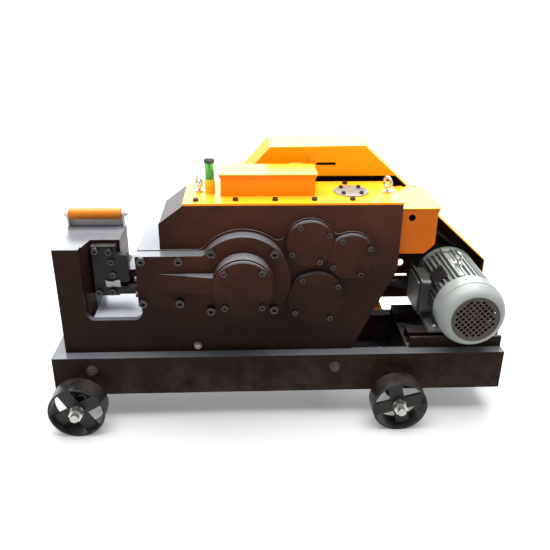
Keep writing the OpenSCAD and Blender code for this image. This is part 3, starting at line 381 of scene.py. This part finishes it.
def clean(bm):
    bmesh.ops.remove_doubles(bm, verts=bm.verts, dist=0.00002)
    bmesh.ops.dissolve_limit(bm, angle_limit=math.radians(0.4), verts=bm.verts, edges=bm.edges)
    bmesh.ops.recalc_face_normals(bm, faces=bm.faces)


def on_seam(e, seams):
    for axis, value in seams:
        if all(abs(v.co[axis] - value) < 0.00006 for v in e.verts):
            return True
    return False


def soften(bm, width, segments, seams=(), angle=32):
    """Rounds every sharp edge that isn't on a joint between two plates."""
    edges = [e for e in bm.edges if e.is_manifold and e.calc_face_angle(0) > math.radians(angle)
             and e.calc_length() > width * 0.3 and not on_seam(e, seams)]
    if edges:
        bmesh.ops.bevel(bm, geom=edges, offset=width, offset_type="OFFSET", segments=segments, profile=0.5,
                        affect="EDGES", clamp_overlap=True, miter_outer="SHARP", miter_inner="SHARP")


def softened(node, width, mat=None, segments=2, seams=(), name=None):
    """A copy of the CAD solid with its edges rounded, shown in the solid's place."""
    bm = bmesh.new()
    bm.from_mesh(NODES[node].data)
    clean(bm)
    soften(bm, width * MM, segments, seams)
    obj = object_from(bm, name or node + "_finished")
    shade(obj)
    return finish_piece(obj, BODY_OF[node], mat or SLOT_OF[node], [node])


def second_material(obj, mat, test):
    """Gives another material to the faces that pass the test on (centre, normal)."""
    obj.data.materials.append(M[mat])
    index = len(obj.data.materials) - 1
    for p in obj.data.polygons:
        if test(p.center, p.normal):
            p.material_index = index


def cylinder(bm, p, q, r, n=32, r2=None):
    """Capped cylinder or cone from p to q."""
    p, q = Vector(p), Vector(q)
    d = q - p
    rot = d.to_track_quat("Z", "Y").to_matrix().to_4x4()
    m = Matrix.Translation((p + q) / 2) @ rot
    return bmesh.ops.create_cone(bm, cap_ends=True, segments=n, radius1=r, radius2=r if r2 is None else r2,
                                 depth=d.length, matrix=m)["verts"]


def piece(name, body, mat, build, nodes=(), angle=35):
    bm = bmesh.new()
    build(bm)
    bmesh.ops.recalc_face_normals(bm, faces=bm.faces)
    obj = object_from(bm, name)
    shade(obj, angle)
    return finish_piece(obj, body, mat, nodes)


# ---------------------------------------------------------------- where things are

side_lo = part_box("side_rails")[0]
WEB_INSET = 0.0055
ORIGIN = Vector((side_lo.x - WEB_INSET, side_lo.y, 0.0))


def at(x, y, z):
    """A point given in millimetres from the base's front left corner on the ground."""
    return ORIGIN + Vector((x, y, z)) * MM


def seam(axis, value):
    return (axis, at(value, value, value)[axis])


BODY_SEAMS = [seam(1, 54.5), seam(1, 220.0), seam(0, 125.0), seam(0, 209.0), seam(0, 270.5), seam(2, 326.0),
              seam(2, 218.0), seam(2, 674.0)]

# ---------------------------------------------------------------- CAD solids with finished edges

# a node whose paint is not its slot's own; the terminal cover's dark grey and the deeper orange of the guard
# panel and electric box are painted shade, and the motor mount's paint has a dimmer painted reflection on top
OTHER_FINISH = {
    "fan_cowl": "cowl_paint", "terminal_cover": "motor_side_painted_shade", "drain_plug": "dull_zinc",
    "nameplate": "plate_steel", "motor_mount": "mount_paint_dim_glare", "fixed_blade": "blade_black",
    "blade_holder": "blade_black", "belt_guard": "orange_paint", "guard_panel": "orange_painted_shade",
    "electric_box": "orange_painted_shade", "oil_cup_base": "cup_yellow", "handle_grip": "grip_orange",
}
finished = {}
for node, width in {
    "side_rails": 1.6, "cross_members": 1.2, "axle_brackets": 1.0, "motor_mount": 1.4, "blade_holder": 1.2,
    "shaft_caps": 0.8, "wheel_front_left": 1.2, "wheel_front_right": 1.2, "wheel_rear_left": 1.2,
    "wheel_rear_right": 1.2, "wheel_nuts": 0.8, "frame_bolts": 0.7, "cover_bolts": 0.7, "blade_screws": 0.8,
    "drain_plug": 0.7, "top_cover": 1.0, "inspection_box": 0.5, "inspection_lid": 0.9, "round_cover": 0.8,
    "electric_box": 0.7, "electric_box_lid": 0.8, "belt_guard": 0.6, "guard_panel": 0.6, "fixed_blade": 0.5,
    "moving_blade": 0.5, "ram": 0.8, "handle_bracket": 0.8, "handle_grip": 2.0, "oil_cup_base": 0.8,
    "oil_cup_glass": 0.4, "flywheel": 1.0, "motor_pulley": 0.8, "motor_frame": 0.7, "terminal_cover": 1.2,
    "nameplate": 0.3, "eyebolts": 0.5, "fan_cowl": 0.35, "axles": 1.0, "motor_shaft": 0.4,
}.items():
    finished[node] = softened(node, width, mat=OTHER_FINISH.get(node))
softened("slide_cover", 2.6, segments=3)
for node in ("front_plate", "rear_plate", "head_column", "jaw_block", "head_foot", "bar_rest", "ram_guides",
             "gearbox_walls"):
    finished[node] = softened(node, 1.6, seams=BODY_SEAMS)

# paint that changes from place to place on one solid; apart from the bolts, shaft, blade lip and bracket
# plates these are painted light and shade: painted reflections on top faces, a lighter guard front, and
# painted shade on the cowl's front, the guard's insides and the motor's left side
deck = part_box("cross_members")[1].z
cowl_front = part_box("fan_cowl")[0].y
motor_left = at(1150, 0, 0).x
fan_end = at(0, 72, 0).y
cowl_lo, cowl_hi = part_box("fan_cowl")
fan_x, fan_z = (cowl_lo.x + cowl_hi.x) / 2, (cowl_lo.z + cowl_hi.z) / 2
face_r = 0.0715  # flat front of the cowl, out to where it turns round the edge
guard_lo, guard_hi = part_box("belt_guard")
guard_middle = (guard_lo.x + guard_hi.x) / 2
second_material(finished["frame_bolts"], "bolt_dark", lambda c, n: c.z < deck)
# painted shade on the cowl's flat front
second_material(finished["fan_cowl"], "cowl_front_painted_shade",
                lambda c, n: c.y < cowl_front + 0.006 and math.hypot(c.x - fan_x, c.z - fan_z) < face_r)
second_material(finished["motor_shaft"], "cast_black", lambda c, n: c.y < fan_end)
# painted shade on the guard's inner faces, and below on its lower and inward faces
second_material(finished["guard_panel"], "guard_inside_painted_shade", lambda c, n: n.y < -0.5)
# painted light on the belt guard's front faces
second_material(finished["belt_guard"], "guard_front_painted_light", lambda c, n: n.y < -0.8)
second_material(finished["belt_guard"], "guard_inside_painted_shade",
                lambda c, n: n.z < -0.2 or (n.x < -0.5 and n.z < 0.05 and c.x > guard_middle))
# painted reflection on the chute floor's top faces
second_material(finished["head_foot"], "chute_painted_glare", lambda c, n: n.z > 0.8)
# painted reflection on the top faces of the head and jaw
second_material(finished["head_column"], "head_top_painted_glare", lambda c, n: n.z > 0.8)
second_material(finished["jaw_block"], "head_top_painted_glare", lambda c, n: n.z > 0.8)
# painted shade on the terminal box side of the motor
second_material(finished["motor_frame"], "motor_side_painted_shade", lambda c, n: c.x < motor_left and c.z > deck + 0.06)
second_material(finished["fixed_blade"], "lip_steel", lambda c, n: n.y < -0.3 and n.z < -0.2)
second_material(finished["handle_bracket"], "pale_plate", lambda c, n: abs(n.y) > 0.8)

for node in ("connecting_rod", "wrist_pin", "crankshaft", "crank_gear", "third_shaft", "third_gear",
             "second_shaft", "second_gear", "input_shaft", "bearings"):
    me = NODES[node].data
    me.materials.clear()
    me.materials.append(M[SLOT_OF[node]])

# ---------------------------------------------------------------- oil cup


def cup_axis():
    lo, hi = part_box("oil_cup_glass")
    return Vector(((lo.x + hi.x) / 2, (lo.y + hi.y) / 2, lo.z)), hi.z


def oil_level(bm):
    c, top = cup_axis()
    cylinder(bm, c + Vector((0, 0, 0.004)), c + Vector((0, 0, 0.034)), 0.0106, 32)


def oil_gauge(bm):
    """Strainer tube that stands in the glass."""
    c, top = cup_axis()
    cylinder(bm, c + Vector((0, 0, 0.004)), c + Vector((0, 0, 0.052)), 0.0032, 16)
    for k in range(6):
        cylinder(bm, c + Vector((0, 0, 0.010 + 0.007 * k)), c + Vector((0, 0, 0.012 + 0.007 * k)), 0.0044, 16)


def knurled_cap(bm):
    """Screw cap with a knurled rim and a small knob."""
    lo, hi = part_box("oil_cup_cap")
    c = Vector(((lo.x + hi.x) / 2, (lo.y + hi.y) / 2, lo.z))
    r = (hi.x - lo.x) / 2
    n = 120
    profile = ((0.0052, 0.0131), (0.0, 0.0131), (0.0, r - 0.0008), (0.0008, r), (0.0092, r),
               (0.0100, r - 0.0009), (0.0100, 0.0108), (0.0126, 0.0108), (0.0130, 0.0102), (0.0130, 0.0),
               (0.0052, 0.0))
    rings = []
    for k, (along, radius) in enumerate(profile):
        if radius == 0.0:
            rings.append([bm.verts.new(c + Vector((0, 0, along)))])
            continue
        ring = []
        for i in range(n):
            a = 2 * math.pi * i / n
            notch = 0.0005 if k in (3, 4) and i % 3 == 0 else 0.0
            reach = radius - notch
            ring.append(bm.verts.new(c + Vector((reach * math.cos(a), reach * math.sin(a), along))))
        rings.append(ring)
    for a, b in zip(rings, rings[1:] + rings[:1]):
        for i in range(n):
            j = (i + 1) % n
            if len(a) == 1 and len(b) == 1:
                break
            if len(b) == 1:
                bm.faces.new((a[i], a[j], b[0]))
            elif len(a) == 1:
                bm.faces.new((a[0], b[j], b[i]))
            else:
                bm.faces.new((a[i], a[j], b[j], b[i]))


piece("oil_in_glass", "machine", "oil", oil_level)
piece("oil_strainer", "machine", "grey_cap", oil_gauge, angle=30)
piece("oil_cap_knurled", "machine", "grey_cap", knurled_cap, nodes=["oil_cup_cap"], angle=25)

# ---------------------------------------------------------------- V-belts


# radius of the belts' backs on each wheel, each belt's place from the front, and half widths by depth
BELT_R_FLYWHEEL = 0.1765
BELT_R_MOTOR = 0.0935
BELT_Y = (308.0, 325.0, 342.0)
BELT_SECTION = ((0.0, 0.0058), (0.0012, 0.0060), (0.0096, 0.0042), (0.0096, -0.0042),
                (0.0012, -0.0060), (0.0, -0.0058))
FLYWHEEL_STEPS = 48
PULLEY_STEPS = 24


def belts(bm):
    """Three closed V-belts round the flywheel and the motor pulley."""
    fly_lo, fly_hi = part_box("flywheel")
    pul_lo, pul_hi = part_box("motor_pulley")
    a = (fly_lo + fly_hi) / 2
    b = (pul_lo + pul_hi) / 2
    ra, rb = BELT_R_FLYWHEEL, BELT_R_MOTOR
    d = Vector((b.x - a.x, b.z - a.z))
    base = math.atan2(d.y, d.x)
    t = math.acos((ra - rb) / d.length)
    for y in BELT_Y:
        yc = at(0, y, 0).y
        loop = []
        for k in range(FLYWHEEL_STEPS + 1):
            ang = base + t + (2 * math.pi - 2 * t) * k / FLYWHEEL_STEPS
            loop.append((a.x, a.z, ang, ra))
        for k in range(PULLEY_STEPS + 1):
            ang = base - t + 2 * t * k / PULLEY_STEPS
            loop.append((b.x, b.z, ang, rb))
        rings = []
        for cx, cz, ang, r in loop:
            ring = []
            for depth, half in BELT_SECTION:
                rr = r - depth
                ring.append(bm.verts.new((cx + rr * math.cos(ang), yc + half,
                                          cz + rr * math.sin(ang))))
            rings.append(ring)
        for i in range(len(rings)):
            p, q = rings[i], rings[(i + 1) % len(rings)]
            for k in range(len(BELT_SECTION)):
                j = (k + 1) % len(BELT_SECTION)
                bm.faces.new((p[k], p[j], q[j], q[k]))


piece("belt_loops", "machine", "belt_rubber", belts, nodes=["v_belts"], angle=25)

# ---------------------------------------------------------------- stage, lights, camera


def area(name, loc, look, size, power, color=(1, 1, 1), size_y=None):
    light = bpy.data.lights.new(name, "AREA")
    light.shape = "RECTANGLE"
    light.size = size
    light.size_y = size_y or size
    light.energy = power
    light.color = color
    obj = bpy.data.objects.new(name, light)
    bpy.context.scene.collection.objects.link(obj)
    obj.location = loc
    obj.rotation_euler = (Vector(look) - Vector(loc)).to_track_quat("-Z", "Y").to_euler()
    return obj


def floor():
    """Plain pale sheet, evenly white towards the horizon."""
    bm = bmesh.new()
    bmesh.ops.create_grid(bm, x_segments=24, y_segments=24, size=90)
    obj = object_from(bm, "studio_floor")
    g = Graph("studio_floor")
    col = g.mix(g.ramp(g.noise(0.8, 3), 0.3, 0.8), rgb(0.50, 0.50, 0.505), rgb(0.53, 0.53, 0.53))
    g.set(color=col, rough=0.85, ior=1.2)
    far = g.t.nodes.new("ShaderNodeVectorMath")
    far.operation = "LENGTH"
    g.link(g.coord, far.inputs[0])
    g.bsdf.inputs["Emission Color"].default_value = rgb(1, 1, 1)
    g.link(g.ramp(far.outputs["Value"], 1.2, 4.5, 0.2, 1.0), g.bsdf.inputs["Emission Strength"])
    obj.data.materials.append(g.mat)


floor()
world = bpy.data.worlds.new("studio")
bpy.context.scene.world = world
world.use_nodes = True
world.node_tree.nodes["Background"].inputs[0].default_value = (0.93, 0.96, 1.0, 1.0)
world.node_tree.nodes["Background"].inputs[1].default_value = 0.3

centre = (0.0, 0.0, 0.35)
area("back_softbox", (0.0, 3.6, 2.3), (0, 0, 0.6), 6.0, 210, (0.90, 0.95, 1.0), size_y=2.0)
area("top_softbox", (0.0, 0.4, 3.4), (0, 0.1, 0.3), 4.0, 400, (1.0, 1.0, 1.0))
area("left_softbox", (-3.4, -1.0, 1.8), centre, 1.8, 12, (1.0, 1.0, 1.0))
area("right_softbox", (3.4, -1.2, 2.0), centre, 1.8, 22, (1.0, 0.98, 0.95))

# millimetres from the base's front left corner, then yaw, pitch and roll in radians
CAMERA_AT = (571.98, -1630.71, 1234.56)
CAMERA_TURN = (0.050, -0.432, 0.010)
LENS = 42.06
cam_data = bpy.data.cameras.new("camera")
cam_data.sensor_width = 36.0
cam_data.lens = LENS
cam = bpy.data.objects.new("camera", cam_data)
bpy.context.scene.collection.objects.link(cam)
yaw, pitch, roll = CAMERA_TURN
forward = Vector((math.sin(yaw) * math.cos(pitch), math.cos(yaw) * math.cos(pitch), math.sin(pitch)))
right = Vector((math.cos(yaw), -math.sin(yaw), 0.0))
upward = right.cross(forward)
right_r = right * math.cos(roll) + upward * math.sin(roll)
up_r = right_r.cross(forward)
rot = Matrix((right_r, up_r, -forward)).transposed().to_4x4()
cam.matrix_world = Matrix.Translation(at(*CAMERA_AT)) @ rot
bpy.context.scene.camera = cam
bpy.context.scene.view_settings.view_transform = "Standard"

# ---------------------------------------------------------------- update, and done

bpy.context.view_layer.update()
